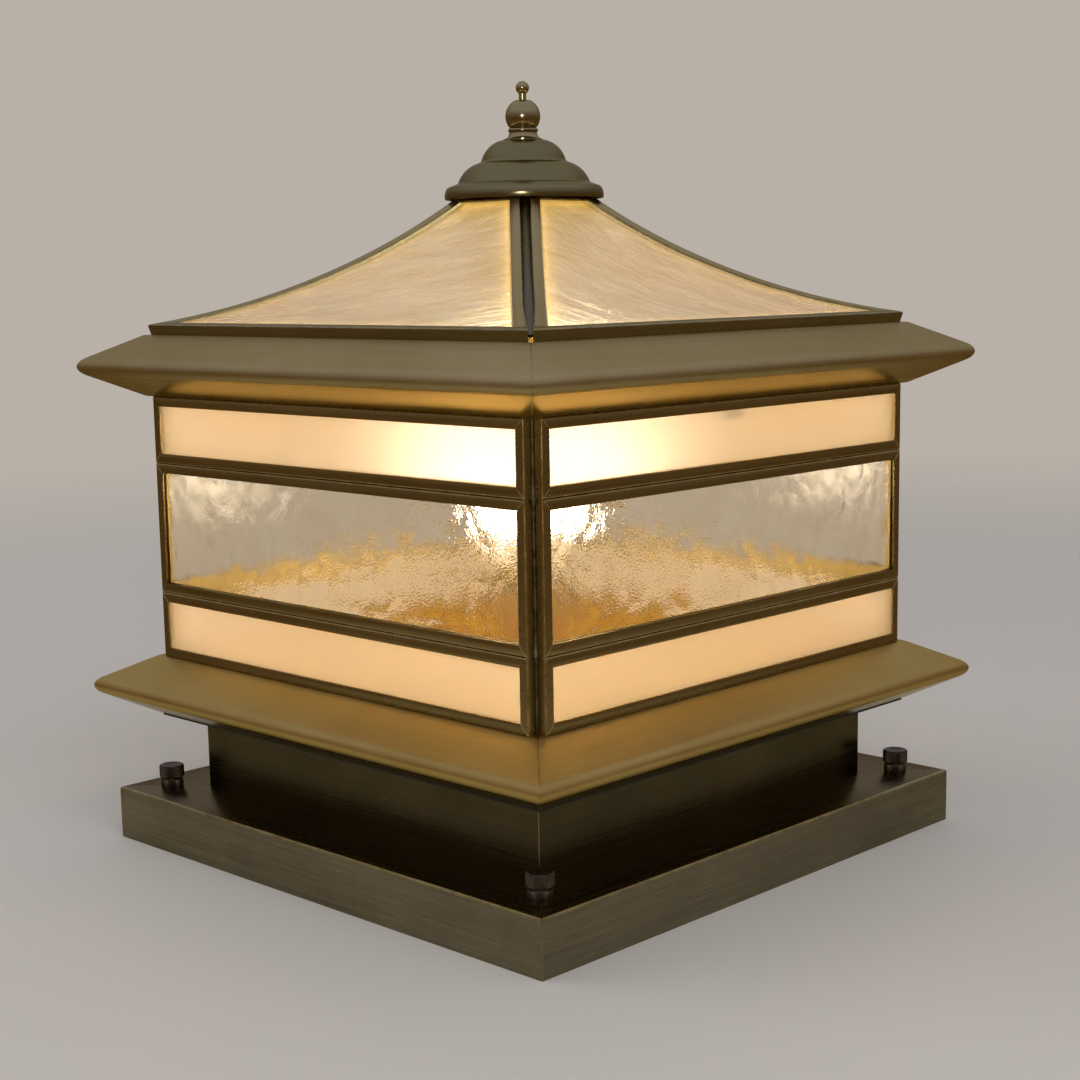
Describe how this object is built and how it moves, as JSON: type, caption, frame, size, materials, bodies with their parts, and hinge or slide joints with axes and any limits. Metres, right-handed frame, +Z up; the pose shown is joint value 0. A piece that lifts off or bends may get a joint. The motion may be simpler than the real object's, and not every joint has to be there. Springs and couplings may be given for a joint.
{
  "type": "outdoor post light",
  "caption": "Square brass and glass lantern for the top of a pillar, with banded glass walls between two eaves, a concave glass roof, a spun cap with finial and a bulb inside.",
  "frame": {"origin": "middle of the plinth's underside, on the pillar's top", "axes": "+Z up through the finial, -Y out of the front wall, +X out of the right wall"},
  "size_m": [0.313, 0.313, 0.3739],
  "materials": {
    "antique_brass_sheet": "antique brass, brushed along its length, satin lacquer",
    "dark_brass_sheet": "blackened brass, satin",
    "antique_brass_came": "antique brass channel with rubbed edges",
    "turned_brass": "antique brass, turned, satin",
    "dark_bronze": "blackened bronze, knurled",
    "solder_seam": "patinated solder",
    "opal_glass": "opal, satin",
    "hammered_glass": "clear, hammered",
    "streaky_glass": "champagne, wispy streaks",
    "bulb_glass": "frosted, lit",
    "bulb_cap_metal": "drawn shell",
    "lampholder_brass": "plain brass",
    "zinc_steel": "zinc plated",
    "grommet_rubber": "matt"
  },
  "bodies": {
    "base": {"mounting_plate": "zinc_steel", "mounting_studs": "zinc_steel", "cable_grommet": "grommet_rubber", "plinth": "antique_brass_sheet", "neck": "antique_brass_sheet", "floor_plate": "dark_brass_sheet", "corner_seams": "solder_seam", "lampholder_bracket": "zinc_steel", "lampholder": "lampholder_brass", "crossbar": "zinc_steel", "tie_rod": "zinc_steel", "lower_eave_front": "antique_brass_sheet", "front_lower_frame": "antique_brass_came", "front_lower_pane": "opal_glass", "front_middle_frame": "antique_brass_came", "front_middle_pane": "hammered_glass", "front_upper_frame": "antique_brass_came", "front_upper_pane": "opal_glass", "lower_eave_right": "antique_brass_sheet", "right_lower_frame": "antique_brass_came", "right_lower_pane": "opal_glass", "right_middle_frame": "antique_brass_came", "right_middle_pane": "hammered_glass", "right_upper_frame": "antique_brass_came", "right_upper_pane": "opal_glass", "lower_eave_back": "antique_brass_sheet", "back_lower_frame": "antique_brass_came", "back_lower_pane": "opal_glass", "back_middle_frame": "antique_brass_came", "back_middle_pane": "hammered_glass", "back_upper_frame": "antique_brass_came", "back_upper_pane": "opal_glass", "lower_eave_left": "antique_brass_sheet", "left_lower_frame": "antique_brass_came", "left_lower_pane": "opal_glass", "left_middle_frame": "antique_brass_came", "left_middle_pane": "hammered_glass", "left_upper_frame": "antique_brass_came", "left_upper_pane": "opal_glass"},
    "roof": {"hip_strips": "solder_seam", "roof_cap": "turned_brass", "upper_eave_front": "antique_brass_sheet", "roof_frame_front": "antique_brass_came", "roof_pane_front": "streaky_glass", "upper_eave_right": "antique_brass_sheet", "roof_frame_right": "antique_brass_came", "roof_pane_right": "streaky_glass", "upper_eave_back": "antique_brass_sheet", "roof_frame_back": "antique_brass_came", "roof_pane_back": "streaky_glass", "upper_eave_left": "antique_brass_sheet", "roof_frame_left": "antique_brass_came", "roof_pane_left": "streaky_glass"},
    "finial": {"finial": "turned_brass"},
    "bulb": {"bulb_globe": "bulb_glass", "bulb_cap": "bulb_cap_metal"},
    "nut_front_left": {"knurled_nut_front_left": "dark_bronze"},
    "nut_front_right": {"knurled_nut_front_right": "dark_bronze"},
    "nut_back_right": {"knurled_nut_back_right": "dark_bronze"},
    "nut_back_left": {"knurled_nut_back_left": "dark_bronze"}
  },
  "joints": [
    {"name": "roof_lift", "type": "slide", "parent": "base", "child": "roof", "axis": [0, 0, 1], "range_m": [0, 0.16]},
    {"name": "finial_turn", "type": "hinge", "parent": "roof", "child": "finial", "pos_m": [0, 0, 0.346], "axis": [0, 0, 1], "continuous": true},
    {"name": "bulb_turn", "type": "hinge", "parent": "base", "child": "bulb", "pos_m": [0, 0, 0.12], "axis": [0, 0, 1], "continuous": true},
    {"name": "nut_turn_front_left", "type": "hinge", "parent": "base", "child": "nut_front_left", "pos_m": [-0.131, -0.131, 0.0263], "axis": [0, 0, 1], "continuous": true},
    {"name": "nut_turn_front_right", "type": "hinge", "parent": "base", "child": "nut_front_right", "pos_m": [0.131, -0.131, 0.0263], "axis": [0, 0, 1], "continuous": true},
    {"name": "nut_turn_back_right", "type": "hinge", "parent": "base", "child": "nut_back_right", "pos_m": [0.131, 0.131, 0.0263], "axis": [0, 0, 1], "continuous": true},
    {"name": "nut_turn_back_left", "type": "hinge", "parent": "base", "child": "nut_back_left", "pos_m": [-0.131, 0.131, 0.0263], "axis": [0, 0, 1], "continuous": true}
  ]
}
